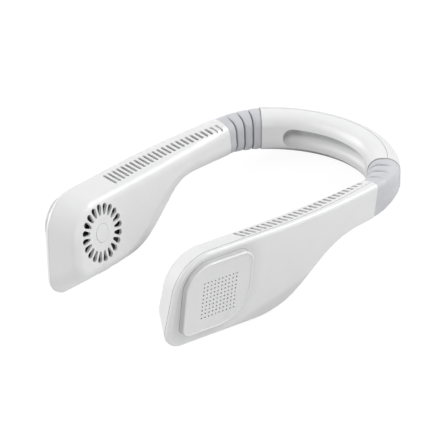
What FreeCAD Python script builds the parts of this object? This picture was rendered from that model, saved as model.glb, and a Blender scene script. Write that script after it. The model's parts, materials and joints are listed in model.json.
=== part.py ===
import FreeCAD, Part
import math
import os

V = FreeCAD.Vector

# Millimetres and degrees throughout
# Design frame: X = 0 is the plane of symmetry, +X the wearer's left, -Y the front, +Z up
# Arm frame: x outward, y back along the arm, z up, origin on the fan axis

# Placing of each arm in the design frame
ARM_X = 53.3
ARM_Y = 4.6
ARM_Z = -3.2
ARM_TOE = 7.15
ARM_LEAN = 7.8

# Side outline of head and arm on the parting line
HEAD_TOP = 28.0
HEAD_BOTTOM = -34.2
BOTTOM_LIFT = 0.18
FRONT_TOP_Y = -27.5
FRONT_BOTTOM_Y = -34.5
FRONT_TOP_R = 26.0
FRONT_BOTTOM_R = 12.0
HEEL_Y = 57.0
HEEL_R = 60.0
HEEL_LEAD = 1.65
HEEL_SOFTEN = 0.9
WAIST_Y = 101.5
WAIST_R = 50.0
WAIST_SOFTEN = 0.2
ARM_UNDERSIDE = 3.0
ARM_LENGTH = 133.0
RUN_OUT = 17.0

# Plan of the arm: offsets at the head and the bends toward the sleeve
INNER_X = -14.0
SEAM_X = 4.0
OUTER_X = 7.5
BEND_START = 40.0
INNER_BEND_R = 1730.0
SEAM_BEND_R = 412.0
OUTER_BEND_R = 540.0

# Moulding
WALL = 1.8
DRAFT = 0.36
INNER_EDGE_R = 8.0
OUTER_EDGE_R = 2.6
SEAM_CHAMFER = 0.3
LIP_DEPTH = 1.5
LIP_WALL = 1.0
LIP_GAP = 0.15
FIT = 0.15
SLIDE_GAP = 0.35

# Slot row along the top
SLOT_COUNT = 25
BLIND_SLOTS = 2
SLOT_FIRST_Y = 25.2
SLOT_PITCH = 4.25
SLOT_WIDTH = 2.3
SLOT_REACH = 10.6
SLOT_SHORTEN = 4.5
SLOT_FROM_SEAM = 2.0
SLOT_DRIFT = 1.2
BLIND_DEPTH = 0.9

# Radial grille on the inner face
GRILLE_R = 19.0
GRILLE_SLOTS = 20
GRILLE_IN_R = 11.6
GRILLE_TIP_R = 0.9
GRILLE_END_R = 2.0
CAP_R = 5.9
CAP_THICK = 1.2
CAP_PROUD = 0.25

# Perforated pad on the outer cover
PAD_FRONT = -24.8
PAD_BACK = 26.0
PAD_TOP = 23.6
PAD_BOTTOM = -25.1
PAD_PROUD = 4.0
PAD_SEAT = 0.4
PAD_EDGE_R = 1.1
DOT_COUNT = 10
DOT_PITCH = 2.75
DOT_R = 0.6
DOT_DROP = 2.2
DOT_BACK = 1.0
INTAKE_R = 18.0

# Blower and motor, all on the fan axis
IMPELLER_R = 18.6
BLADES = 28
BLADE_IN_R = 13.0
BLADE_THICK = 0.8
BLADE_SWEEP = 14.0
IMPELLER_X0 = -10.6
IMPELLER_X1 = 4.6
HUB_R = 10.0
ROTOR_R = 9.0
ROTOR_WALL = 0.6
MAGNET_THICK = 0.8
AIR_GAP = 0.6
POLES = 9
SHAFT_R = 1.0
RUN_FIT = 0.03
BUSH_R = 2.0
TUBE_R = 3.0
SCROLL_R = 20.0
SCROLL_WALL = 1.2

# Screws under the pad: place on the arm side plane
SCREW_R = 1.0
SCREW_HEAD_R = 1.9
SCREW_HEAD = 1.0
BOSS_R = 2.4

# Battery pouch
CELL_THICK = 3.8
CELL_LENGTH = 50.0
CELL_HEIGHT = 22.0
CELL_X = -0.2
CELL_Y = 34.0
CELL_Z = 1.2

# Board, switch, button, socket and light on the underside of the right arm
BOARD_Z = -21.4
BOARD_THICK = 1.0
BOARD_Y0 = 5.0
BOARD_Y1 = 37.0
BOARD_X0 = -6.0
BOARD_X1 = 3.6
PORT_X = -1.0
BUTTON_Y = 11.5
BUTTON_LENGTH = 9.0
BUTTON_WIDTH = 4.2
BUTTON_PROUD = 0.6
BUTTON_TRAVEL = 0.5
LIGHT_Y = 20.5
LIGHT_R = 1.1
SOCKET_Y = 30.0
SOCKET_LENGTH = 8.94
SOCKET_WIDTH = 3.26
SOCKET_WALL = 0.32

# Neck bar, a ring segment about a vertical axis
NECK_R = 71.8
NECK_WIDTH = 21.0
NECK_HEIGHT = 27.0
NECK_Z = 1.8
NECK_START = 41.0
NECK_CORNER_R = 9.0
NECK_SEAM = 2.0
RECESS_START = 60.5
RECESS_R = 7.0
RECESS_Z = 11.0
RECESS_DEPTH = 6.5

# Sleeve, an arc from the arm end to the neck bar
SLEEVE_R = 40.0
SLEEVE_WALL = 2.0
SLEEVE_INSET = 0.35
GROOVES = 3
GROOVE_WIDTH = 1.3
GROOVE_DEPTH = 1.6
SLEEVE_GAP = 0.15
SECTION_POINTS = 28

# Hinge inside the sleeve
PIN_R = 1.5
PIN_FIT = 0.05
KNUCKLE_R = 4.6
TONGUE_HALF = 3.2
CHEEK_GAP = 0.3
CHEEK = 2.4
ROOT_CLEAR = 6.2
PLUG_LENGTH = 8.0
SPIGOT = 3.0
LEAD_R = 0.8
LEAD_FIT = 0.1
LEAD_RISE = 6.85

os.makedirs("parts", exist_ok=True)


# Distance a plan line has moved inward at y
def bend(y, radius):
    past = max(0.0, y - BEND_START)
    return past * past / (2.0 * radius)


def inner_x(y):
    return INNER_X - bend(y, INNER_BEND_R)


def seam_x(y):
    return SEAM_X - bend(y, SEAM_BEND_R)


def outer_x(y):
    return OUTER_X - bend(y, OUTER_BEND_R)


# Extra outward move that keeps the parting line level where it bends inward
def relief(y):
    return DRAFT * bend(y, SEAM_BEND_R)


# Corners and radii of the side outline, drafted or straight, at a depth below the seam
def outline_corners(drafted, depth):
    k = 1.0 if drafted else 0.0
    end = ARM_LENGTH + RUN_OUT
    rise = k * relief(end)
    half = (end - BEND_START) / 2.0
    lift = BOTTOM_LIFT * depth
    bottom = HEAD_BOTTOM + lift
    waist_z = ARM_UNDERSIDE - k * relief(WAIST_Y)
    climb = waist_z - HEAD_BOTTOM
    heel = HEEL_Y - HEEL_LEAD * (depth - k * bend(HEEL_Y, SEAM_BEND_R))
    waist = WAIST_Y - HEEL_LEAD * (depth - k * bend(WAIST_Y, SEAM_BEND_R))
    corners = [(end, HEAD_TOP + rise)]
    radii = [0.0]
    if drafted:
        corners.append((end - half, HEAD_TOP))
        radii.append(0.98 * half / math.tan(math.atan(rise / half) / 2.0))
    front = FRONT_TOP_Y + (FRONT_BOTTOM_Y - FRONT_TOP_Y) * (HEAD_TOP - bottom) / (HEAD_TOP - HEAD_BOTTOM)
    corners += [
        (FRONT_TOP_Y, HEAD_TOP),
        (front, bottom),
        (heel, bottom),
        (waist - lift * (waist - heel) / climb, waist_z),
        (end, ARM_UNDERSIDE - rise),
    ]
    heel_r = HEEL_R + HEEL_SOFTEN * depth
    waist_r = WAIST_R + WAIST_SOFTEN * depth
    front_grow = DRAFT * depth
    radii += [FRONT_TOP_R + front_grow, FRONT_BOTTOM_R + front_grow, heel_r, waist_r, 0.0]
    return corners, radii


OUTLINE_END = ARM_LENGTH + RUN_OUT


# Corner-rounded outline on the plane x, moved in by inset
def outline_wire(x, drafted, inset):
    depth = SEAM_X - x if drafted else 0.0
    points, radii = outline_corners(drafted, depth)
    edges = []
    last = len(points) - 1
    here = None
    first = None
    for i in range(1, last + 1):
        corner = V(x, points[i][0], points[i][1])
        prev = V(x, points[i - 1][0], points[i - 1][1])
        way = (corner - prev).normalize()
        left = V(0, -way.z, way.y)
        if here is None:
            here = prev + left * inset
            first = here
        if i == last:
            edges.append(Part.makeLine(here, corner + left * inset))
            here = corner + left * inset
            continue
        after = V(x, points[i + 1][0], points[i + 1][1])
        out = (after - corner).normalize()
        out_left = V(0, -out.z, out.y)
        turn = math.atan2(way.y * out.z - way.z * out.y, way.y * out.y + way.z * out.z)
        side = 1.0 if turn > 0 else -1.0
        cut = radii[i] * math.tan(abs(turn) / 2.0)
        centre = corner - way * cut + left * (radii[i] * side)
        to_mid = (corner - centre).normalize()
        mid = centre + to_mid * (radii[i] - inset * side)
        a = corner - way * cut + left * inset
        b = corner + out * cut + out_left * inset
        edges.append(Part.makeLine(here, a))
        edges.append(Part.Arc(a, mid, b).toShape())
        here = b
    edges.append(Part.makeLine(here, first))
    return Part.Wire(edges)


# Plan line: straight along the head, then an arc inward
def plan_edges(x, radius, z):
    y0 = FRONT_BOTTOM_Y - 12.0
    y1 = ARM_LENGTH + RUN_OUT + 6.0
    a = V(x, y0, z)
    b = V(x, BEND_START, z)
    turn = math.asin((y1 - BEND_START) / radius)
    mid = V(x - radius * (1.0 - math.cos(turn / 2.0)), BEND_START + radius * math.sin(turn / 2.0), z)
    c = V(x - radius * (1.0 - math.cos(turn)), y1, z)
    return [Part.makeLine(a, b), Part.Arc(b, mid, c).toShape()], a, c


# Upright slab between two plan lines, each given as offset at the head and bend radius
def plan_slab(low, high):
    near, a0, a1 = plan_edges(low[0], low[1], -60.0)
    far, b0, b1 = plan_edges(high[0], high[1], -60.0)
    ends = [Part.makeLine(a0, b0), Part.makeLine(a1, b1)]
    wire = Part.Wire(Part.__sortEdges__(near + far + ends))
    return Part.Face(wire).extrude(V(0, 0, 120.0))


def inner_line(inset):
    return (INNER_X + inset, INNER_BEND_R + inset)


def seam_line(over):
    return (SEAM_X + over, SEAM_BEND_R + over)


def outer_line(inset):
    return (OUTER_X - inset, OUTER_BEND_R - inset)


# Edges whose points all pass a test
def edges_where(shape, test):
    found = []
    for edge in shape.Edges:
        points = edge.discretize(7)
        if all(test(p) for p in points):
            found.append(edge)
    return found


# Whether a point lies on a plan line
def on_line(p, line):
    x, radius = line
    if p.y <= BEND_START:
        return abs(p.x - x) < 0.02
    return abs(math.hypot(p.x - x + radius, p.y - BEND_START) - radius) < 0.02


# Solid of the drafted inner shell, moved in by inset and raised past the seam by over
def tub(inset, over):
    skew = inset * math.sqrt(1.0 + DRAFT * DRAFT)
    x_top = SEAM_X + 4.0
    x_low = inner_x(OUTLINE_END) - 1.0
    top = outline_wire(x_top, True, skew + DRAFT * (SEAM_X - x_top))
    low = outline_wire(x_low, True, skew + DRAFT * (SEAM_X - x_low))
    prism = Part.makeLoft([low, top], True, True)
    body = prism.common(plan_slab(inner_line(inset), seam_line(over)))
    rim = edges_where(body, lambda p: on_line(p, inner_line(inset)))
    rim = [e for e in rim if e.CenterOfMass.y < OUTLINE_END - 0.5]
    return body.makeFillet(INNER_EDGE_R - inset, rim)


# Straight-sided block on the outline between two plan lines
def block(inset, low, high):
    prism = Part.Face(outline_wire(-40.0, False, inset)).extrude(V(80.0, 0, 0))
    return prism.common(plan_slab(low, high))


# Solid of the outer cover, moved in by inset, starting under below the seam
def lid(inset, under):
    body = block(inset, seam_line(-under), outer_line(inset))
    rim = edges_where(body, lambda p: on_line(p, outer_line(inset)))
    rim = [e for e in rim if e.CenterOfMass.y < OUTLINE_END - 0.5]
    body = body.makeFillet(OUTER_EDGE_R - inset, rim)
    if inset > 0.0:
        return body
    edge = edges_where(body, lambda p: on_line(p, seam_line(-under)))
    edge = [e for e in edge if e.CenterOfMass.y < OUTLINE_END - 0.5]
    return body.makeChamfer(SEAM_CHAMFER, edge)


# Cylinder along x on the arm side plane
def rod(x0, x1, y, z, r):
    return Part.makeCylinder(r, x1 - x0, V(x0, y, z), V(1, 0, 0))


# Stadium prism along z, long side on y
def slot_y(x, y, z0, z1, length, width):
    r = width / 2.0
    half = length / 2.0 - r
    core = Part.makeBox(width, 2.0 * half, z1 - z0, V(x - r, y - half, z0))
    a = Part.makeCylinder(r, z1 - z0, V(x, y - half, z0))
    b = Part.makeCylinder(r, z1 - z0, V(x, y + half, z0))
    return core.multiFuse([a, b]).removeSplitter()


# Stadium prism along z, long side on x
def slot_x(x0, x1, y, z0, z1, width):
    r = width / 2.0
    core = Part.makeBox(x1 - x0 - width, width, z1 - z0, V(x0 + r, y - r, z0))
    a = Part.makeCylinder(r, z1 - z0, V(x0 + r, y, z0))
    b = Part.makeCylinder(r, z1 - z0, V(x1 - r, y, z0))
    return core.multiFuse([a, b]).removeSplitter()


# Closed corner-rounded polygon face on the plane x
def rounded_face(x, corners, radii, holes):
    edges = []
    n = len(corners)
    starts = []
    ends = []
    mids = []
    for i in range(n):
        p = corners[i - 1]
        c = corners[i]
        q = corners[(i + 1) % n]
        a = V(0, p[0] - c[0], p[1] - c[1]).normalize()
        b = V(0, q[0] - c[0], q[1] - c[1]).normalize()
        half = a.getAngle(b) / 2.0
        cut = radii[i] / math.tan(half)
        at = V(x, c[0], c[1])
        middle = (a + b).normalize()
        starts.append(at + a * cut)
        ends.append(at + b * cut)
        mids.append(at + middle * (radii[i] / math.sin(half) - radii[i]))
    for i in range(n):
        edges.append(Part.Arc(starts[i], mids[i], ends[i]).toShape())
        nxt = starts[(i + 1) % n]
        if (nxt - ends[i]).Length > 1e-6:
            edges.append(Part.makeLine(ends[i], nxt))
    return Part.makeFace([Part.Wire(edges)] + holes, "Part::FaceMakerBullseye")


# Pad outline grown by grow
def pad_face(x, grow, holes):
    f = PAD_FRONT - grow
    b = PAD_BACK + grow
    t = PAD_TOP + grow
    u = PAD_BOTTOM - grow
    corners = [(f, t), (f, u), (b, u), (b, t)]
    radii = [18.0 + grow, 6.0 + grow, 24.0 + grow, 9.0 + grow]
    return rounded_face(x, corners, radii, holes)


SCREWS = [(-19.0, 15.5), (-20.5, -18.0), (17.0, -17.0)]
FLOOR_TOP = OUTER_X - PAD_SEAT
FLOOR_LOW = FLOOR_TOP - WALL
wall_end = ARM_LENGTH - PLUG_LENGTH - 3.0

# Shells
shell_outer = tub(0.0, 0.0)
shell_cavity = tub(WALL, 1.0)
bosses = [rod(INNER_X, FLOOR_LOW, y, z, BOSS_R) for y, z in SCREWS]
pilots = [rod(FLOOR_LOW - 7.0, FLOOR_LOW + 1.0, y, z, SCREW_R * 0.8) for y, z in SCREWS]
shell_body = shell_outer.cut(shell_cavity)
shell_tall = tub(WALL / 2.0, FLOOR_LOW - SEAM_X + 0.2)
bosses = [b.common(shell_tall) for b in bosses]
shell_body = shell_body.multiFuse(bosses)

# Slot row: open slots, then blind ones next to the sleeve
slots = []
blinds = []
for i in range(SLOT_COUNT):
    y = SLOT_FIRST_Y + SLOT_PITCH * i
    along = i / (SLOT_COUNT - 1.0)
    x1 = seam_x(y) - SLOT_FROM_SEAM - SLOT_DRIFT * along
    x0 = max(x1 - SLOT_REACH + SLOT_SHORTEN * along, inner_x(y) + 1.5)
    cutter = slot_x(x0, x1, y, 10.0, HEAD_TOP + 5.0, SLOT_WIDTH)
    if i < SLOT_COUNT - BLIND_SLOTS:
        slots.append(cutter)
    else:
        blinds.append(cutter)
blind_core = tub(BLIND_DEPTH, 0.0)
blinds = [b.cut(blind_core) for b in blinds]

# Radial grille: tapered slots with round ends
span = (GRILLE_R - GRILLE_END_R) - (GRILLE_IN_R + GRILLE_TIP_R)
swing = math.asin((GRILLE_END_R - GRILLE_TIP_R) / span)
r_in = GRILLE_IN_R + GRILLE_TIP_R
r_out = GRILLE_R - GRILLE_END_R
cx = math.sin(swing)
cy = math.cos(swing)
g0 = INNER_X - 2.0
q1 = V(g0, r_in - cx * GRILLE_TIP_R, cy * GRILLE_TIP_R)
q2 = V(g0, r_out - cx * GRILLE_END_R, cy * GRILLE_END_R)
q3 = V(g0, r_out - cx * GRILLE_END_R, -cy * GRILLE_END_R)
q4 = V(g0, r_in - cx * GRILLE_TIP_R, -cy * GRILLE_TIP_R)
grille_edges = [
    Part.makeLine(q1, q2),
    Part.Arc(q2, V(g0, r_out + GRILLE_END_R, 0), q3).toShape(),
    Part.makeLine(q3, q4),
    Part.Arc(q4, V(g0, r_in - GRILLE_TIP_R, 0), q1).toShape(),
]
grille_slot = Part.Face(Part.Wire(grille_edges)).extrude(V(WALL + 4.0, 0, 0))
for k in range(GRILLE_SLOTS):
    turned = grille_slot.copy()
    turned.rotate(V(0, 0, 0), V(1, 0, 0), 360.0 * k / GRILLE_SLOTS)
    slots.append(turned)
cap_seat = rod(INNER_X - 1.0, INNER_X + CAP_THICK - CAP_PROUD, 0, 0, CAP_R + FIT)
shell_body = shell_body.cut(Part.makeCompound(slots + blinds))
shell_body = shell_body.cut(Part.makeCompound(pilots + [cap_seat]))
grille_cap = rod(INNER_X - CAP_PROUD, INNER_X + CAP_THICK - CAP_PROUD, 0, 0, CAP_R)
grille_cap = grille_cap.makeFillet(0.3, [e for e in grille_cap.Edges if e.CenterOfMass.x < INNER_X])

# Outer cover with pad tray, motor spider and locating lip
cover_outer = lid(0.0, 0.0)
cover_cavity = lid(WALL, 1.0)
tray = pad_face(FLOOR_LOW, WALL, []).extrude(V(OUTER_X - FLOOR_LOW, 0, 0)).common(cover_outer)
lip_in = WALL + LIP_GAP
lip_zone = plan_slab(seam_line(-LIP_DEPTH), seam_line(WALL))
lip_zone = lip_zone.common(Part.makeBox(200.0, 100.0 + wall_end, 200.0, V(-100.0, -100.0, -100.0)))
lip = tub(lip_in, 2.0 * WALL).cut(tub(lip_in + LIP_WALL, 3.0 * WALL)).common(lip_zone)
cover = cover_outer.cut(cover_cavity).multiFuse([tray, lip])
cover = cover.cut(pad_face(FLOOR_TOP, FIT, []).extrude(V(10.0, 0, 0)))
openings = rod(FLOOR_LOW - 1.0, FLOOR_TOP + 1.0, 0, 0, INTAKE_R)
spokes = [rod(FLOOR_LOW - 1.0, FLOOR_TOP + 1.0, 0, 0, ROTOR_R + 0.5)]
for k in range(4):
    bar = Part.makeBox(WALL + 2.0, 2.0 * INTAKE_R + 2.0, 2.4, V(FLOOR_LOW - 1.0, -INTAKE_R - 1.0, -1.2))
    bar.rotate(V(0, 0, 0), V(1, 0, 0), 45.0 * k + 22.5)
    if k % 2 == 0:
        spokes.append(bar)
openings = openings.cut(Part.makeCompound(spokes))
heads = [rod(FLOOR_TOP - SCREW_HEAD - FIT, FLOOR_TOP + 1.0, y, z, SCREW_HEAD_R + FIT) for y, z in SCREWS]
shanks = [rod(FLOOR_LOW - 1.0, FLOOR_TOP, y, z, SCREW_R + FIT) for y, z in SCREWS]
pegs = [(21.0, 19.0), (-12.0, -21.5)]
peg_holes = [rod(FLOOR_LOW - 1.0, FLOOR_TOP + 1.0, y, z, 0.9 + FIT) for y, z in pegs]
cover = cover.cut(Part.makeCompound([openings] + heads + shanks + peg_holes))

# Screws, one set per arm
screw_set = []
for y, z in SCREWS:
    head = rod(FLOOR_TOP - SCREW_HEAD, FLOOR_TOP, y, z, SCREW_HEAD_R)
    drive = Part.makeBox(0.5, 2.4, 0.6, V(FLOOR_TOP - 0.5, y - 1.2, z - 0.3))
    shank = rod(FLOOR_LOW - 6.0, FLOOR_TOP - SCREW_HEAD / 2.0, y, z, SCREW_R * 0.8)
    screw_set.append(head.fuse(shank).cut(drive))
case_screws = Part.makeCompound(screw_set)

# Perforated pad
dots = []
for i in range(DOT_COUNT):
    for k in range(DOT_COUNT):
        y = (i - (DOT_COUNT - 1) / 2.0) * DOT_PITCH + DOT_BACK
        z = (k - (DOT_COUNT - 1) / 2.0) * DOT_PITCH - DOT_DROP
        dots.append(Part.Wire([Part.makeCircle(DOT_R, V(FLOOR_TOP, y, z), V(1, 0, 0))]))
pad = pad_face(FLOOR_TOP, 0.0, dots).extrude(V(PAD_SEAT + PAD_PROUD, 0, 0))
pad_rim = edges_where(pad, lambda p: p.x > OUTER_X + PAD_PROUD - 0.01 and max(abs(p.y), abs(p.z)) > 16.0)
pad = pad.makeFillet(PAD_EDGE_R, pad_rim)
pad = pad.multiFuse([rod(FLOOR_LOW + 0.4, FLOOR_TOP + 0.5, y, z, 0.9) for y, z in pegs])

# Motor on the spider
base = rod(FLOOR_LOW - 1.2, FLOOR_LOW, 0, 0, ROTOR_R - 0.2)
tube = rod(-4.5, FLOOR_LOW - 1.2, 0, 0, TUBE_R)
motor_base = base.fuse(tube).cut(rod(-6.0, FLOOR_LOW - 1.2, 0, 0, BUSH_R))
bearing = rod(-4.5, FLOOR_LOW - 1.4, 0, 0, BUSH_R).cut(rod(-6.0, 8.0, 0, 0, SHAFT_R + RUN_FIT))
shaft = rod(-6.2, FLOOR_LOW - 1.6, 0, 0, SHAFT_R)
stator_r = ROTOR_R - ROTOR_WALL - MAGNET_THICK - AIR_GAP
stator_parts = [rod(-2.6, 2.4, 0, 0, TUBE_R + 1.0)]
for k in range(POLES):
    pole = Part.makeBox(5.0, 1.1, stator_r, V(-2.6, -0.55, 0.0))
    coil = Part.makeBox(6.2, 1.6, stator_r - TUBE_R - 2.2, V(-3.2, -0.8, TUBE_R + 1.2))
    shoe = rod(-2.6, 2.4, 0, 0, stator_r).cut(rod(-3.0, 3.0, 0, 0, stator_r - 0.8))
    shoe = shoe.common(Part.makeBox(6.0, 3.6, stator_r + 1.0, V(-3.0, -1.8, 0.0)))
    pole = pole.multiFuse([coil, shoe]).common(rod(-4.0, 4.0, 0, 0, stator_r))
    pole.rotate(V(0, 0, 0), V(1, 0, 0), 360.0 * k / POLES)
    stator_parts.append(pole)
stator = stator_parts[0].multiFuse(stator_parts[1:]).cut(rod(-5.0, 5.0, 0, 0, TUBE_R))
rotor_cup = rod(-6.2, 3.4, 0, 0, ROTOR_R).cut(rod(-5.4, 4.0, 0, 0, ROTOR_R - ROTOR_WALL))
rotor_cup = rotor_cup.cut(rod(-7.0, 0.0, 0, 0, SHAFT_R))
magnet_in = ROTOR_R - ROTOR_WALL - MAGNET_THICK
magnet_ring = rod(-3.4, 3.0, 0, 0, ROTOR_R - ROTOR_WALL).cut(rod(-4.0, 4.0, 0, 0, magnet_in))

# Impeller: hub, web, curved blades and end rings
hub = rod(-7.4, 3.4, 0, 0, HUB_R).cut(rod(-6.2, 4.0, 0, 0, ROTOR_R))
web = rod(-3.6, -2.4, 0, 0, IMPELLER_R).cut(rod(-4.0, -2.0, 0, 0, HUB_R - 0.5))
ring0 = rod(IMPELLER_X0, IMPELLER_X0 + 1.2, 0, 0, IMPELLER_R)
ring0 = ring0.cut(rod(IMPELLER_X0 - 1.0, IMPELLER_X0 + 2.0, 0, 0, IMPELLER_R - 1.8))
ring1 = rod(IMPELLER_X1 - 1.2, IMPELLER_X1, 0, 0, IMPELLER_R)
ring1 = ring1.cut(rod(IMPELLER_X1 - 2.0, IMPELLER_X1 + 1.0, 0, 0, IMPELLER_R - 1.8))


def polar(r, degrees, x):
    a = math.radians(degrees)
    return V(x, r * math.cos(a), r * math.sin(a))


blade_out = IMPELLER_R - 0.3
blade_mid = (BLADE_IN_R + blade_out) / 2.0
thin = math.degrees(BLADE_THICK / blade_mid)
b0 = IMPELLER_X0 + 0.2
one_side = Part.Arc(polar(BLADE_IN_R, 0, b0), polar(blade_mid, 2.0, b0), polar(blade_out, BLADE_SWEEP, b0))
other = Part.Arc(polar(blade_out, BLADE_SWEEP + thin, b0), polar(blade_mid, 2.0 + thin, b0),
                 polar(BLADE_IN_R, thin, b0))
blade_wire = Part.Wire([
    one_side.toShape(),
    Part.makeLine(polar(blade_out, BLADE_SWEEP, b0), polar(blade_out, BLADE_SWEEP + thin, b0)),
    other.toShape(),
    Part.makeLine(polar(BLADE_IN_R, thin, b0), polar(BLADE_IN_R, 0, b0)),
])
blade = Part.Face(blade_wire).extrude(V(IMPELLER_X1 - IMPELLER_X0 - 0.4, 0, 0))
blades = []
for k in range(BLADES):
    turned = blade.copy()
    turned.rotate(V(0, 0, 0), V(1, 0, 0), 360.0 * k / BLADES)
    blades.append(turned)
impeller = hub.multiFuse([web, ring0, ring1] + blades)

# Air duct: scroll round the impeller, dividing wall, floor
duct_room = tub(WALL + 0.25, 1.0)
duct_top = FLOOR_LOW - 0.1
DUCT_FLOOR = BOARD_Z + 2.5
scroll = rod(INNER_X, duct_top, 0, 0, SCROLL_R + SCROLL_WALL).cut(rod(INNER_X - 1.0, 8.0, 0, 0, SCROLL_R))
mouth = Part.makeBox(40.0, 60.0, 60.0, V(-20.0, 0.0, -9.0))
scroll = scroll.cut(mouth)
divider = plan_slab(seam_line(-5.6), seam_line(-4.4))
divider = divider.common(Part.makeBox(60.0, wall_end - 20.0, 60.0, V(-40.0, 20.0, DUCT_FLOOR)))
cross = Part.makeBox(duct_top + 1.6, SCROLL_WALL, 60.0, V(-1.6, 20.0, DUCT_FLOOR))
floor = Part.makeBox(20.0, 44.0, SCROLL_WALL, V(INNER_X - 5.4, 20.0, DUCT_FLOOR))
floor = floor.fuse(Part.makeBox(duct_top - INNER_X, SCROLL_WALL, -9.0 - DUCT_FLOOR, V(INNER_X, 20.0, DUCT_FLOOR)))
floor = floor.fuse(Part.makeBox(duct_top - INNER_X, 4.2, SCROLL_WALL, V(INNER_X, 17.0, -10.2)))
hollow = rod(-30.0, 30.0, 0, 0, SCROLL_R)
air_duct = scroll.multiFuse([divider, cross, floor]).cut(hollow).common(duct_room)
boss_room = [rod(-20.0, 20.0, y, z, BOSS_R + 0.2) for y, z in SCREWS]
air_duct = air_duct.cut(Part.makeCompound(boss_room))
lip_room = plan_slab(seam_line(-LIP_DEPTH - FIT), seam_line(4.0 * WALL)).cut(tub(lip_in + LIP_WALL + FIT, 3.0 * WALL))
air_duct = air_duct.cut(lip_room)

# Battery pouch with folded edge
cell = Part.makeBox(CELL_THICK, CELL_LENGTH, CELL_HEIGHT, V(CELL_X, CELL_Y, CELL_Z))
cell = cell.makeFillet(1.6, [e for e in cell.Edges if e.BoundBox.YLength > 10.0])
tab = Part.makeBox(0.8, 3.0, CELL_HEIGHT - 6.0, V(CELL_X + CELL_THICK / 2.0, CELL_Y - 2.6, CELL_Z + 3.0))
battery = cell.fuse(tab)

# Underside controls of the right arm
board_low = BOARD_Z - BOARD_THICK
board = Part.makeBox(BOARD_X1 - BOARD_X0, BOARD_Y1 - BOARD_Y0, BOARD_THICK, V(BOARD_X0, BOARD_Y0, board_low))
chip = Part.makeBox(4.0, 4.0, 0.9, V(-5.0, 24.0, BOARD_Z))
choke = Part.makeBox(4.0, 4.0, 2.0, V(-5.0, 31.0, BOARD_Z))
control_board = board.multiFuse([chip, choke])
switch_low = board_low - 1.8
switch = Part.makeBox(4.0, 4.0, 1.8, V(PORT_X - 2.0, BUTTON_Y - 2.0, switch_low))
push_switch = switch.fuse(Part.makeCylinder(0.9, 0.6, V(PORT_X, BUTTON_Y, switch_low - 0.5)))
stem_top = switch_low - 0.5 - BUTTON_TRAVEL - 0.1
proud = tub(-BUTTON_PROUD, 0.0)
button_room = slot_y(PORT_X, BUTTON_Y, -45.0, stem_top - 0.8, BUTTON_LENGTH, BUTTON_WIDTH)
button_cap = button_room.common(proud)
flange = slot_y(PORT_X, BUTTON_Y, stem_top - 0.8, stem_top, BUTTON_LENGTH + 2.4, BUTTON_WIDTH + 2.4)
power_button = button_cap.fuse(flange)
gap2 = 2.0 * SLIDE_GAP
button_hole = slot_y(PORT_X, BUTTON_Y, -45.0, BOARD_Z, BUTTON_LENGTH + gap2, BUTTON_WIDTH + gap2)
light_rod = Part.makeCylinder(LIGHT_R, 20.0, V(PORT_X, LIGHT_Y, board_low - 20.0))
light_pipe = light_rod.common(shell_outer)
light_hole = Part.makeCylinder(LIGHT_R + 0.05, 25.0, V(PORT_X, LIGHT_Y, -48.0))
socket_room = slot_y(PORT_X, SOCKET_Y, -45.0, board_low, SOCKET_LENGTH, SOCKET_WIDTH)
socket_in = slot_y(PORT_X, SOCKET_Y, -45.0, board_low - 0.6, SOCKET_LENGTH - 2.0 * SOCKET_WALL,
                   SOCKET_WIDTH - 2.0 * SOCKET_WALL)
tongue = Part.makeBox(0.7, 6.7, 3.8, V(PORT_X - 0.35, SOCKET_Y - 3.35, board_low - 4.0))
usb_socket = socket_room.cut(socket_in).common(tub(0.3, 0.0)).fuse(tongue)
socket_hole = slot_y(PORT_X, SOCKET_Y, -45.0, BOARD_Z, SOCKET_LENGTH + 2.0 * FIT, SOCKET_WIDTH + 2.0 * FIT)
posts = []
post_back = BOARD_Y1 - 1.2
post_mid = LIGHT_Y + 1.0
for x, y in [(BOARD_X0 + 2.0, post_back), (BOARD_X1 - 3.2, post_back), (BOARD_X0 + 1.8, post_mid)]:
    posts.append(Part.makeCylinder(1.2, 20.0, V(x, y, board_low - 20.0)).common(shell_outer))
shell_right = shell_body.multiFuse(posts)
shell_right = shell_right.cut(Part.makeCompound([button_hole, light_hole, socket_hole]))

# Turn from the arm frame to the design frame
lean = FreeCAD.Placement(V(0, 0, 0), FreeCAD.Rotation(V(0, 1, 0), ARM_LEAN))
toe = FreeCAD.Placement(V(ARM_X, ARM_Y, ARM_Z), FreeCAD.Rotation(V(0, 0, 1), -ARM_TOE))
ARM = toe.multiply(lean)


def placed(shape):
    moved = shape.copy()
    moved.Placement = ARM.multiply(moved.Placement)
    return moved


# Arm end: square to the front-back line of the design frame
end_point = ARM.multVec(V((inner_x(ARM_LENGTH) + outer_x(ARM_LENGTH)) / 2.0, ARM_LENGTH,
                          (HEAD_TOP + ARM_UNDERSIDE) / 2.0))
END_Y = end_point.y
beyond = Part.makeBox(400.0, 100.0, 400.0, V(-200.0, END_Y, -200.0))
arm_whole = [placed(shell_outer), placed(cover_outer)]
shell_left = placed(shell_body).cut(beyond)
shell_right = placed(shell_right).cut(beyond)
cover = placed(cover).cut(beyond)

# Neck bar axis and sleeve arc
start = math.radians(NECK_START)
NECK_Y = END_Y - (NECK_R - SLEEVE_R) * math.sin(start)
arc_x = NECK_R * math.cos(start) + SLEEVE_R * (1.0 - math.cos(start))
ARC_CENTRE = V(arc_x - SLEEVE_R, END_Y, 0)
NECK_MID = NECK_Z + NECK_HEIGHT / 2.0


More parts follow.
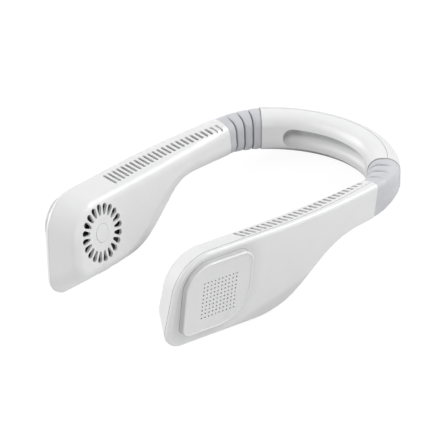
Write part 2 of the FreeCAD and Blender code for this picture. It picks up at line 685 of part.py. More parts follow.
# Neck section as a face on the radial plane at an angle, moved in by inset
def neck_section(angle, inset):
    half_w = NECK_WIDTH / 2.0 - inset
    half_h = NECK_HEIGHT / 2.0 - inset
    corners = [(-half_w, half_h), (-half_w, -half_h), (half_w, -half_h), (half_w, half_h)]
    face = rounded_face(0.0, corners, [NECK_CORNER_R - inset] * 4, [])
    face.rotate(V(0, 0, 0), V(0, 0, 1), angle - 90.0)
    a = math.radians(angle)
    face.translate(V(NECK_R * math.cos(a), NECK_Y + NECK_R * math.sin(a), NECK_MID))
    return face


def neck_sweep(angle0, angle1, inset):
    return neck_section(angle0, inset).revolve(V(0, NECK_Y, 0), V(0, 0, 1), angle1 - angle0)


# Ring-shaped rod about the neck axis with ball ends
def neck_rod(r, z, radius, angle0, angle1, balls):
    a = math.radians(angle0)
    centre = V(r * math.cos(a), NECK_Y + r * math.sin(a), z)
    circle = Part.makeCircle(radius, centre, V(-math.sin(a), math.cos(a), 0))
    face = Part.Face(Part.Wire([circle]))
    body = face.revolve(V(0, NECK_Y, 0), V(0, 0, 1), angle1 - angle0)
    if balls:
        b = math.radians(angle1)
        far = V(r * math.cos(b), NECK_Y + r * math.sin(b), z)
        body = body.multiFuse([Part.makeSphere(radius, centre), Part.makeSphere(radius, far)])
    return body


neck_end = 180.0 - NECK_START
neck_outer = neck_sweep(NECK_START, neck_end, 0.0)
neck_cavity = neck_sweep(NECK_START - 2.0, neck_end + 2.0, WALL)
neck_ring = neck_outer.cut(neck_cavity)
recess_r = NECK_R - NECK_WIDTH / 2.0 + RECESS_DEPTH - RECESS_R
recess_z = NECK_Z + RECESS_Z
recess_end = 180.0 - RECESS_START
recess = neck_rod(recess_r, recess_z, RECESS_R, RECESS_START, recess_end, True)
recess_wall = neck_rod(recess_r, recess_z, RECESS_R + WALL, RECESS_START, recess_end, True)
neck_ring = neck_ring.fuse(recess_wall.common(neck_outer)).cut(recess)
seam_drum = Part.makeCylinder(NECK_R + NECK_SEAM, 200.0, V(0, NECK_Y, -100.0))
groove = Part.makeCylinder(NECK_R + NECK_SEAM + SEAM_CHAMFER, 200.0, V(0, NECK_Y, -100.0)).cut(seam_drum)
groove = groove.cut(neck_sweep(NECK_START - 2.0, neck_end + 2.0, SEAM_CHAMFER))
neck_ring = neck_ring.cut(groove)
neck_inner_shell = neck_ring.common(seam_drum)
neck_outer_cover = neck_ring.cut(seam_drum)


# Outline points of the arm end section, both halves
arm_outline = []
for half in arm_whole:
    for wire in half.slice(V(0, 1, 0), END_Y - 0.01):
        arm_outline += wire.discretize(720)
arm_x = [p.x for p in arm_outline]
arm_z = [p.z for p in arm_outline]
arm_centre = V((min(arm_x) + max(arm_x)) / 2.0, END_Y, (min(arm_z) + max(arm_z)) / 2.0)


# Outermost outline point in each of the even directions round a centre
def ray_points(outline, count):
    points = []
    for k in range(count):
        a = 2.0 * math.pi * k / count
        close = [p for p in outline if abs(math.remainder(math.atan2(p[1], p[0]) - a, 2.0 * math.pi)) < 0.02]
        size = max(math.hypot(p[0], p[1]) for p in close)
        points.append((size * math.cos(a), size * math.sin(a)))
    return points


arm_points = ray_points([(p.x - arm_centre.x, p.z - arm_centre.z) for p in arm_outline], SECTION_POINTS)
neck_face = neck_section(90.0, 0.0)
neck_outline = neck_face.OuterWire.discretize(1440)
neck_points = ray_points([(p.y - NECK_Y - NECK_R, p.z - NECK_MID) for p in neck_outline], SECTION_POINTS)


# Section of the sleeve at fraction f, shrunk by inset given per point
def sleeve_wire(f, shrink):
    angle = start * f
    out = V(math.cos(angle), math.sin(angle), 0)
    shift = arm_centre.x - arc_x
    centre = V(ARC_CENTRE.x, ARC_CENTRE.y, 0) + out * (SLEEVE_R + shift * (1.0 - f))
    centre.z = arm_centre.z + (NECK_MID - arm_centre.z) * f
    ease = f * f * (3.0 - 2.0 * f)
    points = []
    for k in range(SECTION_POINTS):
        a = arm_points[k]
        b = neck_points[k]
        w = a[0] + (b[0] - a[0]) * ease
        h = a[1] + (b[1] - a[1]) * ease
        size = math.hypot(w, h)
        keep = (size - shrink(w, h)) / size
        points.append(centre + out * (w * keep) + V(0, 0, h * keep))
    curve = Part.BSplineCurve()
    curve.interpolate(points, True)
    return Part.Wire([curve.toShape()])


def sleeve_loft(inset, f0, f1):
    wires = [sleeve_wire(f0 + (f1 - f0) * k / 4.0, lambda w, h: inset) for k in range(5)]
    return Part.makeLoft(wires, True, False)


# Groove depth: full on the neck side, none on the outer side
def groove_shrink(w, h):
    side = -w / math.hypot(w, h)
    return SLEEVE_INSET + GROOVE_DEPTH * min(1.0, max(-0.4, 0.5 + 0.9 * side))


gap_f = SLEEVE_GAP / (SLEEVE_R * start)
sleeve = sleeve_loft(SLEEVE_INSET, 0.0, 1.0 - gap_f)
for k in range(GROOVES):
    f = (k + 1.0) / (GROOVES + 1.0)
    along = V(-math.sin(start * f), math.cos(start * f), 0)
    core_wire = sleeve_wire(f, groove_shrink)
    core_wire.translate(along * (-GROOVE_WIDTH))
    core = Part.Face(core_wire).extrude(along * (2.0 * GROOVE_WIDTH))
    big_wire = sleeve_wire(f, lambda w, h: -6.0)
    big_wire.translate(along * (-GROOVE_WIDTH / 2.0))
    ring = Part.Face(big_wire).extrude(along * GROOVE_WIDTH).cut(core)
    sleeve = sleeve.cut(ring)
sleeve_inside = sleeve_loft(SLEEVE_INSET + SLEEVE_WALL + 0.6, -0.1, 1.1)
sleeve = sleeve.cut(sleeve_inside)

# Hinge at the middle of the sleeve
mid = start / 2.0
shift_mid = (arm_centre.x - arc_x) / 2.0
pivot = ARC_CENTRE + V(math.cos(mid), math.sin(mid), 0) * (SLEEVE_R + shift_mid)
pivot.z = (arm_centre.z + NECK_MID) / 2.0
HINGE = FreeCAD.Placement(pivot, FreeCAD.Rotation(V(0, 0, 1), math.degrees(mid)))


def on_hinge(shape):
    moved = shape.copy()
    moved.Placement = HINGE.multiply(moved.Placement)
    return moved


def box_mid(x, y0, y1, z0, z1):
    return Part.makeBox(2.0 * x, y1 - y0, z1 - z0, V(-x, y0, z0))


cheek_in = TONGUE_HALF + CHEEK_GAP
cheek_out = cheek_in + CHEEK
reach = SLEEVE_R * mid
cheeks = box_mid(KNUCKLE_R, -reach, 0.0, -cheek_out, cheek_out)
cheeks = cheeks.fuse(Part.makeCylinder(KNUCKLE_R, 2.0 * cheek_out, V(0, 0, -cheek_out)))
cheeks = cheeks.cut(box_mid(20.0, -ROOT_CLEAR, 20.0, -cheek_in, cheek_in))
cheeks = cheeks.cut(Part.makeCylinder(PIN_R, 60.0, V(0, 0, -30.0)))
tongue_arm = box_mid(KNUCKLE_R, 0.0, reach, -TONGUE_HALF, TONGUE_HALF)
tongue_arm = tongue_arm.fuse(Part.makeCylinder(KNUCKLE_R, 2.0 * TONGUE_HALF, V(0, 0, -TONGUE_HALF)))
tongue_arm = tongue_arm.fuse(box_mid(KNUCKLE_R, ROOT_CLEAR, reach, -cheek_out, cheek_out))
tongue_arm = tongue_arm.cut(Part.makeCylinder(PIN_R + PIN_FIT, 60.0, V(0, 0, -30.0)))
hinge_pin = on_hinge(Part.makeCylinder(PIN_R, 2.0 * cheek_out, V(0, 0, -cheek_out)))

plug_inset = SLEEVE_INSET + SLEEVE_WALL + 0.6 + 0.05
plug_wire = sleeve_wire(0.0, lambda w, h: plug_inset + 5.0 * FIT)
plug_wire.translate(V(0, -PLUG_LENGTH, 0))
arm_plug = Part.Face(plug_wire).extrude(V(0, PLUG_LENGTH, 0))
spigots = sleeve_loft(plug_inset, -0.1, 1.1)
hinge_room = sleeve_loft(plug_inset + 2.0 * FIT, -0.1, 1.1)
arm_spigot = spigots.common(Part.makeBox(200.0, SPIGOT + 0.05, 200.0, V(-20.0, END_Y - 0.05, -100.0)))
plug_angle = math.degrees(PLUG_LENGTH / NECK_R)
neck_plug = neck_sweep(NECK_START, NECK_START + plug_angle, WALL + 0.05)
neck_box = Part.makeBox(60.0, SPIGOT + 0.5, 200.0, V(-30.0, -SPIGOT, -100.0))
neck_box.rotate(V(0, 0, 0), V(0, 0, 1), NECK_START)
neck_box.translate(V(NECK_R * math.cos(start), NECK_Y + NECK_R * math.sin(start), 0))
neck_spigot = spigots.common(neck_box)

# Leads through the sleeve and along the neck bar
lead_z = pivot.z + LEAD_RISE


def lead_arc(radius, angle0, angle1):
    a = math.radians(angle0)
    r = SLEEVE_R + shift_mid
    centre = V(ARC_CENTRE.x + r * math.cos(a), ARC_CENTRE.y + r * math.sin(a), lead_z)
    circle = Part.makeCircle(radius, centre, V(-math.sin(a), math.cos(a), 0))
    return Part.Face(Part.Wire([circle])).revolve(ARC_CENTRE, V(0, 0, 1), angle1 - angle0)


sleeve_lead = lead_arc(LEAD_R, -6.0, NECK_START + 5.0)
lead_way = lead_arc(LEAD_R + LEAD_FIT, -30.0, NECK_START + 30.0)
arm_hinge = on_hinge(cheeks).common(hinge_room).multiFuse([arm_plug, arm_spigot]).cut(lead_way)
neck_hinge = on_hinge(tongue_arm).common(hinge_room).multiFuse([neck_plug, neck_spigot]).cut(lead_way)
neck_lead_r = NECK_R + 4.0
neck_lead = neck_rod(neck_lead_r, NECK_Z + NECK_HEIGHT - WALL - 2.0, 1.2, NECK_START + 10.0, neck_end - 10.0, False)


# Mirror to the wearer's right
def mirrored(shape):
    return shape.mirror(V(0, 0, 0), V(1, 0, 0))


pairs = {
    "outer_cover": cover,
    "intake_pad": placed(pad),
    "grille_cap": placed(grille_cap),
    "air_duct": placed(air_duct),
    "motor_base": placed(motor_base),
    "stator": placed(stator),
    "bearing": placed(bearing),
    "shaft": placed(shaft),
    "magnet_ring": placed(magnet_ring),
    "rotor_cup": placed(rotor_cup),
    "impeller": placed(impeller),
    "case_screws": placed(case_screws),
    "battery": placed(battery),
    "arm_hinge": arm_hinge,
    "neck_hinge": neck_hinge,
    "hinge_pin": hinge_pin,
    "sleeve": sleeve,
    "sleeve_lead": sleeve_lead,
}
nodes = {
    "left_inner_shell": shell_left,
    "right_inner_shell": mirrored(shell_right),
    "neck_inner_shell": neck_inner_shell,
    "neck_outer_cover": neck_outer_cover,
    "neck_lead": neck_lead,
}
for name, shape in pairs.items():
    nodes["left_" + name] = shape
    nodes["right_" + name] = mirrored(shape)
singles = {
    "control_board": control_board,
    "push_switch": push_switch,
    "usb_socket": usb_socket,
    "light_pipe": light_pipe,
    "power_button": power_button,
}
for name, shape in singles.items():
    nodes[name] = mirrored(placed(shape))


# Lowest point of a shape after a pitch about X
def lowest(points, pitch):
    s = math.sin(math.radians(pitch))
    c = math.cos(math.radians(pitch))
    return min(p.z * c - p.y * s for p in points)


# Pitch at which heads and neck bar lie on one level
head_points = nodes["left_outer_cover"].tessellate(0.05)[0] + nodes["left_inner_shell"].tessellate(0.05)[0]
bar_points = neck_inner_shell.tessellate(0.05)[0] + neck_outer_cover.tessellate(0.05)[0]
low = 0.0
high = 30.0
for k in range(40):
    pitch = (low + high) / 2.0
    if lowest(bar_points, pitch) > lowest(head_points, pitch):
        low = pitch
    else:
        high = pitch
drop = min(lowest(bar_points, pitch), lowest(head_points, pitch))

# Row frame: lying level, bottom at z = 0, centred front to back
turn = FreeCAD.Rotation(V(1, 0, 0), -pitch)
all_points = head_points + bar_points
depth = [turn.multVec(p).y for p in all_points]
centre_y = (min(depth) + max(depth)) / 2.0
ROW = FreeCAD.Placement(V(0, -centre_y, -drop), turn)
for name, shape in nodes.items():
    shape.Placement = ROW.multiply(shape.Placement)
    shape.exportStep("parts/" + name + ".step")
    good = shape.isValid()
    print(name, len(shape.Solids), round(shape.Volume, 1), good)

# Places needed for joints, in the row frame
print("pitch", pitch, "shift", -centre_y, -drop)
print("fan", ROW.multVec(ARM.multVec(V(0, 0, 0))), turn.multVec(ARM.Rotation.multVec(V(1, 0, 0))))
print("hinge", ROW.multVec(pivot), turn.multVec(V(0, 0, 1)))
print("button", turn.multVec(ARM.Rotation.multVec(V(0, 0, 1))))
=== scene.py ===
import json
import math

import bmesh
import bpy
from mathutils import Matrix, Vector
from mathutils.bvhtree import BVHTree
from mathutils.geometry import convex_hull_2d


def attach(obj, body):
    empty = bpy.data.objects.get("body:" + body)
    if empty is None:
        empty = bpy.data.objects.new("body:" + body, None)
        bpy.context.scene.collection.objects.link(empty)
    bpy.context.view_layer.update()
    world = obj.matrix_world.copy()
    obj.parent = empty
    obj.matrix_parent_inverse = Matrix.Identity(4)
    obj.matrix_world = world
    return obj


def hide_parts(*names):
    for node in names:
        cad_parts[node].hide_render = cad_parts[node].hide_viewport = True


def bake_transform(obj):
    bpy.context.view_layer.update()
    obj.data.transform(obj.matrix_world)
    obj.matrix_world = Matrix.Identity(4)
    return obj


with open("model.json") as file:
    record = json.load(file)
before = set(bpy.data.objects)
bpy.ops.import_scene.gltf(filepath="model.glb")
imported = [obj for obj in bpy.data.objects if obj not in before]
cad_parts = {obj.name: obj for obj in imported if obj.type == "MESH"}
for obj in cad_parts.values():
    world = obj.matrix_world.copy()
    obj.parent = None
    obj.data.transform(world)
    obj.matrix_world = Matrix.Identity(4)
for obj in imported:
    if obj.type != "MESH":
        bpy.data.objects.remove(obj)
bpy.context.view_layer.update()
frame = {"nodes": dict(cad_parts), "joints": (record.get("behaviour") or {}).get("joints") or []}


# Neck bar: two thin white ABS mouldings, an inner half with a long finger recess and an outer
# half, snapped together along one groove that runs round the back of the bar.
class Finish:
    """One socket of a material's nodes; sums on it add Math nodes."""

    def __init__(self, tree, socket=None):
        self.tree = tree
        self.socket = socket

    def node(self, kind, settings=None, inputs=None, out=0):
        made = self.tree.nodes.new(kind)
        for name, value in (settings or {}).items():
            setattr(made, name, value)
        for name, value in (inputs or {}).items():
            if isinstance(value, Finish):
                self.tree.links.new(value.socket, made.inputs[name])
            else:
                made.inputs[name].default_value = value
        return Finish(self.tree, made.outputs[out] if made.outputs else None)

    def sum_of(self, operation, first, second=0.0):
        return self.node("ShaderNodeMath", {"operation": operation}, {0: first, 1: second})

    def __abs__(self):
        return self.sum_of("ABSOLUTE", self)

    def __add__(self, other):
        return self.sum_of("ADD", self, other)

    def __radd__(self, other):
        return self.sum_of("ADD", other, self)

    def __sub__(self, other):
        return self.sum_of("SUBTRACT", self, other)

    def __rsub__(self, other):
        return self.sum_of("SUBTRACT", other, self)

    def __mul__(self, other):
        return self.sum_of("MULTIPLY", self, other)

    def __rmul__(self, other):
        return self.sum_of("MULTIPLY", other, self)

    def larger(self, other):
        return self.sum_of("MAXIMUM", self, other)

    def between(self, low, high):
        settings = {"clamp": True, "interpolation_type": "SMOOTHSTEP"}
        span = {"Value": self, "From Min": low, "From Max": high}
        return self.node("ShaderNodeMapRange", settings, span)


def new_finish(name):
    material = bpy.data.materials.new(name)
    material.use_nodes = True
    material.node_tree.nodes.clear()
    return material, Finish(material.node_tree)


def close_finish(start, sockets):
    shader = start.node("ShaderNodeBsdfPrincipled", None, sockets)
    start.node("ShaderNodeOutputMaterial", None, {"Surface": shader})


def mixed(start, mask, first, second):
    settings = {"data_type": "RGBA"}
    return start.node("ShaderNodeMix", settings, {0: mask, 6: first, 7: second}, 2)


def shade(colour, share=1.0):
    return tuple(c * share for c in colour) + (1.0,)


def coordinates(start, kind="Object"):
    return start.node("ShaderNodeTexCoord", None, None, kind)


def facing(start, axis):
    normal = coordinates(start, "Normal")
    return start.node("ShaderNodeSeparateXYZ", None, {"Vector": normal}, axis)


def noise(start, place, scale, detail):
    sockets = {"Vector": place, "Scale": scale, "Detail": detail}
    return start.node("ShaderNodeTexNoise", None, sockets)


def hollowness(start, reach, samples):
    sockets = {"Distance": reach}
    return 1 - start.node("ShaderNodeAmbientOcclusion", {"samples": samples}, sockets, "AO")


def dented(start, strength, depth, height):
    sockets = {"Strength": strength, "Distance": depth, "Height": height}
    return start.node("ShaderNodeBump", None, sockets)


def dress(material, *nodes):
    for name in nodes:
        for place in frame["nodes"][name].material_slots:
            place.material = material


FLOW_SCALE = 38.0
FLOW_SPAN = (0.35, 0.7)
FLOW_DULL = 0.975
# Which upward faces are spared the painted shade under a lip
UPWARD_SPAN = (-0.15, 0.60)
# Rounded edges, paler partly as wear and partly as a painted highlight
EDGE_WIDTH = 0.0009
EDGE_SPAN = (0.01, 0.12)
EDGE_PALE = 0.9
# How far a face turns from the X axis before it gets the painted shade of a pad's narrow sides
FLANK_SPAN = (0.35, 0.75)
# Painted shade in fine seams, grooves and small holes
GROOVE_REACH = 0.0008
GROOVE_SPAN = (0.42, 0.75)
GROOVE_SHADE_SHARE = 0.7
GROOVE_DARK = 0.34
GRAIN_STRENGTH = 0.35
PLASTIC_IOR = 1.5


# Moulded plastic. grain is the size and depth of the mould's texture. The painted shade in hollows
# is given by how far it reaches from a corner, from what to what hollowness it darkens, and how
# dark it is; under a lip it keeps to what faces down. The next two say how much the edges pale, as
# wear and as a painted highlight, and how dark a painted shade makes a pad's narrow sides.
def moulded(name, colour, rough, grain, shade_in_hollows, edge_wear_and_highlight=0.15, flank_shade=1.0, under_lip_shade=False):
    grain_size, grain_depth = grain
    reach, first, full, dark = shade_in_hollows
    material, start = new_finish(name)
    place = coordinates(start)
    flow = noise(start, place, FLOW_SCALE, 3.0)
    fine = noise(start, place, 1.0 / grain_size, 2.0)
    tone = mixed(start, flow.between(*FLOW_SPAN), shade(colour), shade(colour, FLOW_DULL))
    # Painted shade: darker where the surface is hollow, in corners and recesses; under a lip only
    # on faces that look down
    hollow_shade_mask = hollowness(start, reach, 8).between(first, full)
    if under_lip_shade:
        hollow_shade_mask = hollow_shade_mask * (1 - facing(start, "Z").between(*UPWARD_SPAN))
    # Edges painted paler, partly as wear and partly as a painted highlight; they are also smoother
    rounded = start.node("ShaderNodeBevel", {"samples": 4}, {"Radius": EDGE_WIDTH})
    surface = start.node("ShaderNodeNewGeometry", None, None, "Normal")
    settings = {"operation": "DOT_PRODUCT"}
    edge = 1 - start.node("ShaderNodeVectorMath", settings, {0: rounded, 1: surface}, "Value")
    worn_highlit_edge = edge.between(*EDGE_SPAN)
    pale = shade(c + (1.0 - c) * EDGE_PALE for c in colour)
    tone = mixed(start, worn_highlit_edge * edge_wear_and_highlight, tone, pale)
    # Painted shade on a pad's narrow sides
    if flank_shade < 1.0:
        flank_shade_mask = 1 - abs(facing(start, "X")).between(*FLANK_SPAN)
        tone = mixed(start, flank_shade_mask, tone, shade(colour, flank_shade))
    tone = mixed(start, hollow_shade_mask, tone, shade(colour, dark))
    # Painted shade in the seam groove and small holes
    groove_shade_mask = hollowness(start, GROOVE_REACH, 6).between(*GROOVE_SPAN) * GROOVE_SHADE_SHARE
    tone = mixed(start, groove_shade_mask, tone, shade(colour, GROOVE_DARK))
    close_finish(start, {
        "Base Color": tone,
        "Roughness": rough + (flow - 0.5) * 0.10 + (fine - 0.5) * 0.08 - worn_highlit_edge * 0.08,
        "Normal": dented(start, GRAIN_STRENGTH, grain_depth, fine),
        "Coat Weight": 0.18 + worn_highlit_edge * 0.10,
        "Coat Roughness": 0.10,
        "IOR": PLASTIC_IOR,
    })
    return material


WHITE = (0.86, 0.86, 0.865)
GLOSS_ROUGH = 0.30
SATIN_GRAIN = (0.00045, 0.00002)
# Painted shade in the bar's finger recess, darkest under its lip where the surface faces down
BAR_HOLLOW_SHADE = (0.012, 0.07, 0.34, 0.34)
bar_plastic = moulded("white_bar_plastic", WHITE, GLOSS_ROUGH, SATIN_GRAIN, BAR_HOLLOW_SHADE, under_lip_shade=True)
dress(bar_plastic, "neck_inner_shell", "neck_outer_cover")


# Leads: thin bundles of wire in a cover of extruded black silicone. One lies in the roof of the
# bar and joins both arms, and a short one goes on through each sleeve.
LEAD_BLACK = (0.025, 0.025, 0.027)
SCUFF_SCALE = 420.0
SCUFF_SPAN = (0.5, 0.75)
SCUFF_PALE = 0.03
SCUFF_DEPTH = 0.00003


def silicone_lead():
    material, start = new_finish("black_silicone_lead")
    scuff = noise(start, coordinates(start), SCUFF_SCALE, 4.0)
    pale = shade(c + SCUFF_PALE for c in LEAD_BLACK)
    close_finish(start, {
        "Base Color": mixed(start, scuff.between(*SCUFF_SPAN), shade(LEAD_BLACK), pale),
        "Roughness": 0.5 + (scuff - 0.5) * 0.2,
        "Normal": dented(start, 0.3, SCUFF_DEPTH, scuff),
    })
    return material


black_lead = silicone_lead()
dress(black_lead, "neck_lead")


# Hinges: a fork and a tongue of moulded glass-filled nylon, plugged into the arm and the bar and
# held by the shells, turning on a drawn steel pin. The wearer's left lies along +X.
SIDES = {"left": 1.0, "right": -1.0}
DRAWN_SCALE = 900.0
DRAWN_DEPTH = 0.00002
TARNISH_SCALE = 160.0
TARNISH_SPAN = (0.4, 0.7)
TARNISH_DARK = 0.82


def stretched(start, place, stretch):
    settings = {"operation": "MULTIPLY"}
    return start.node("ShaderNodeVectorMath", settings, {0: place, 1: stretch})


def brushed_metal(name, colour, rough, stretch):
    material, start = new_finish(name)
    place = coordinates(start)
    lines = noise(start, stretched(start, place, stretch), DRAWN_SCALE, 4.0)
    cloud = noise(start, place, TARNISH_SCALE, 2.0)
    tarnish = cloud.between(*TARNISH_SPAN)
    close_finish(start, {
        "Base Color": mixed(start, tarnish, shade(colour), shade(colour, TARNISH_DARK)),
        "Metallic": 1.0,
        "Roughness": rough + (lines - 0.5) * 0.22 + (cloud - 0.5) * 0.1,
        "Normal": dented(start, 0.25, DRAWN_DEPTH, lines),
    })
    return material


STEEL_GREY = (0.60, 0.60, 0.61)
NYLON_GREY = (0.26, 0.26, 0.28)
NYLON_GRAIN = (0.0003, 0.00004)
# Painted shade in the hollows of the hinges, blowers and ducts
INNER_HOLLOW_SHADE = (0.002, 0.45, 0.95)
steel = brushed_metal("drawn_steel", STEEL_GREY, 0.32, (1.0, 1.0, 0.08))
nylon = moulded("grey_filled_nylon", NYLON_GREY, 0.55, NYLON_GRAIN, INNER_HOLLOW_SHADE + (0.83,))
for side in SIDES:
    dress(nylon, side + "_arm_hinge", side + "_neck_hinge")
    dress(steel, side + "_hinge_pin")


# Flexible sleeves: grey silicone tubes over the hinges, moulded with three folds that are deep
# on the neck side and run out on the outer side, held at each end by the spigots.
SLEEVE_GREY = (0.63, 0.635, 0.665)
SLEEVE_DULL = (0.59, 0.595, 0.625)
# The darkest grey is a painted shade in the folds
SLEEVE_DARK = (0.25, 0.255, 0.28)
SLEEVE_CLOUDS = (6.0, 2.0, 1.0)
SLEEVE_GRAINS = (150.0, 52.0, 1.0)
SLEEVE_GRAIN_DEPTH = 0.00003
FOLD_SHADE_REACH = 0.0016
FOLD_SHADE = 0.75


def sleeve_rubber():
    material, start = new_finish("grey_silicone_sleeve")
    place = coordinates(start, "UV")
    cloud = noise(start, stretched(start, place, SLEEVE_CLOUDS), 1.0, 4.0)
    grain = noise(start, stretched(start, place, SLEEVE_GRAINS), 1.0, 3.0)
    # Painted shade in the folds
    hollow_shade_mask = hollowness(start, FOLD_SHADE_REACH, 8).between(0.08, 0.5) * FOLD_SHADE
    tone = mixed(start, cloud.between(0.3, 0.7), shade(SLEEVE_GREY), shade(SLEEVE_DULL))
    close_finish(start, {
        "Base Color": mixed(start, hollow_shade_mask, tone, shade(SLEEVE_DARK)),
        "Roughness": 0.5 + (cloud - 0.5) * 0.12 + (grain - 0.5) * 0.14,
        "Normal": dented(start, 0.4, SLEEVE_GRAIN_DEPTH, grain),
        "Sheen Weight": 0.25,
        "Sheen Roughness": 0.4,
    })
    return material


def smooth_step(value):
    value = min(1.0, max(0.0, value))
    return value * value * (3.0 - 2.0 * value)


BEND_TURN = math.radians(41.0)
BEND_RADIUS = 0.03993
BEND_RISE = 0.00253


# The curved line of a sleeve, from the arm at 0 to the bar at 1, with its outward direction
def sleeve_line(joint, mirror, part):
    pin = Vector(joint["pos_m"])
    upright = Vector((0.0, abs(joint["axis"][1]), abs(joint["axis"][2])))
    level = Vector((0.0, upright.z, -upright.y))

    def outward(angle):
        return Vector((mirror * math.cos(angle), 0.0, 0.0)) + level * math.sin(angle)

    here = outward(BEND_TURN * part)
    middle = outward(BEND_TURN * 0.5)
    climb = upright * (BEND_RISE * (part - 0.5))
    return pin + (here - middle) * BEND_RADIUS + climb, here, upright


def ring_ways(count):
    return [2.0 * math.pi * k / count for k in range(count)]


def sideways(out, upright, angle):
    return out * math.cos(angle) + upright * math.sin(angle)


OUTSIDE = 0.03


# Radius of the sleeve in one direction, read from the plain tube between two folds
def tube_radius(tube, centre, way):
    hit = tube.ray_cast(centre + way * OUTSIDE, -way)
    return (hit[0] - centre).length


def linked_piece(name, data, material):
    data.materials.append(material)
    piece = bpy.data.objects.new(name, data)
    bpy.context.scene.collection.objects.link(piece)
    return piece


def mesh_piece(name, mesh, material):
    bmesh.ops.recalc_face_normals(mesh, faces=mesh.faces)
    data = bpy.data.meshes.new(name)
    mesh.to_mesh(data)
    mesh.free()
    return linked_piece(name, data, material)


SEGMENTS = 4
FOLD_PLACES = tuple(k / SEGMENTS for k in range(1, SEGMENTS))
FOLD_DEPTH = 0.0015
FOLD_HALF = 0.00050
FOLD_ROUND = 0.70
FOLD_LEAN = 0.9
CROWN = 0.00042
SKIN = 0.0022
ARM_HELD = 0.03
BAR_HELD = 0.97
PLAIN_PLACES = (ARM_HELD, 0.125, 0.375, 0.625, 0.875, BAR_HELD)
SLEEVE_FROM = 0.0005
SLEEVE_RUN = 0.994
ROUND = 112
ALONG = 150


def make_sleeve(side, mirror, joint):
    node = frame["nodes"][side + "_sleeve"]
    points = [v.co.copy() for v in node.data.vertices]
    tube = BVHTree.FromPolygons(points, [tuple(p.vertices) for p in node.data.polygons])
    ways = ring_ways(ROUND)
    sizes = []
    for part in PLAIN_PLACES:
        centre, out, upright = sleeve_line(joint, mirror, part)
        sizes.append([tube_radius(tube, centre, sideways(out, upright, a)) for a in ways])
    mesh = bmesh.new()
    sheet = mesh.loops.layers.uv.new("along_sleeve")
    skins = []
    linings = []
    last = len(PLAIN_PLACES) - 1
    for step in range(ALONG + 1):
        part = SLEEVE_FROM + SLEEVE_RUN * step / ALONG
        centre, out, upright = sleeve_line(joint, mirror, part)
        after = next((i for i, p in enumerate(PLAIN_PLACES) if p >= part), last)
        before = max(0, min(after - 1, last - 1))
        gap = PLAIN_PLACES[before + 1] - PLAIN_PLACES[before]
        share = (part - PLAIN_PLACES[before]) / gap
        length = BEND_TURN * BEND_RADIUS
        nearest = min(abs(part - f) for f in FOLD_PLACES) * length
        fold = math.exp(-((nearest / FOLD_HALF) ** 2))
        within = part * SEGMENTS - math.floor(part * SEGMENTS)
        crown = 1.0 - (2.0 * within - 1.0) ** 2
        skin = []
        lining = []
        for k, a in enumerate(ways):
            size = sizes[before][k] + (sizes[before + 1][k] - sizes[before][k]) * share
            deep = smooth_step(FOLD_ROUND - FOLD_LEAN * math.cos(a))
            size += (CROWN * (crown - 1.0) - FOLD_DEPTH * fold) * deep
            way = sideways(out, upright, a)
            skin.append(mesh.verts.new(centre + way * size))
            lining.append(mesh.verts.new(centre + way * (size - SKIN)))
        skins.append(skin)
        linings.append(lining)

    def face(corners, spots):
        made = mesh.faces.new(corners)
        made.smooth = True
        for loop, spot in zip(made.loops, spots):
            loop[sheet].uv = spot

    for step in range(ALONG):
        for k in range(ROUND):
            n = (k + 1) % ROUND
            u0, u1 = k / ROUND, (k + 1) / ROUND
            v0, v1 = step / ALONG, (step + 1) / ALONG
            a, b = skins[step], skins[step + 1]
            face((a[k], a[n], b[n], b[k]), ((u0, v0), (u1, v0), (u1, v1), (u0, v1)))
            a, b = linings[step], linings[step + 1]
            face((b[k], b[n], a[n], a[k]), ((u0, v1), (u1, v1), (u1, v0), (u0, v0)))
    for step in (0, ALONG):
        for k in range(ROUND):
            n = (k + 1) % ROUND
            a, b = skins[step], linings[step]
            corners = (a[n], a[k], b[k], b[n]) if step == 0 else (a[k], a[n], b[n], b[k])
            face(corners, ((k / ROUND, step / ALONG),) * 4)
    return mesh_piece(side + "_folded_sleeve", mesh, grey_rubber)


LEAD_RADIUS = 0.0008
LEAD_HEIGHT = 0.00685
LEAD_FROM = -0.12
LEAD_RUN = 1.22
LEAD_ROUND = 16
LEAD_STEPS = 40


# A lead runs level through each sleeve, above the hinge, and follows its curve
def make_sleeve_lead(side, mirror, joint):
    mesh = bmesh.new()
    rings = []
    for step in range(LEAD_STEPS + 1):
        part = LEAD_FROM + LEAD_RUN * step / LEAD_STEPS
        centre, out, upright = sleeve_line(joint, mirror, part)
        centre = centre + upright * (LEAD_HEIGHT - BEND_RISE * (part - 0.5))
        ways = [sideways(out, upright, a) for a in ring_ways(LEAD_ROUND)]
        rings.append([mesh.verts.new(centre + way * LEAD_RADIUS) for way in ways])
    for a, b in zip(rings, rings[1:]):
        for k in range(LEAD_ROUND):
            n = (k + 1) % LEAD_ROUND
            mesh.faces.new((a[k], a[n], b[n], b[k])).smooth = True
    mesh.faces.new(rings[0])
    mesh.faces.new(rings[-1])
    return mesh_piece(side + "_flex_lead", mesh, black_lead)


grey_rubber = sleeve_rubber()
joints = {joint["name"]: joint for joint in frame["joints"]}
for side, mirror in SIDES.items():
    joint = joints[side + "_arm_spread"]
    bar_end = sleeve_line(joint, mirror, BAR_HELD)[0]
    arm_end = sleeve_line(joint, mirror, ARM_HELD)[0]
    sleeve = make_sleeve(side, mirror, joint)
    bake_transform(sleeve)
    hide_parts(side + "_sleeve")
    lead = make_sleeve_lead(side, mirror, joint)
    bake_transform(lead)
    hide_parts(side + "_sleeve_lead")


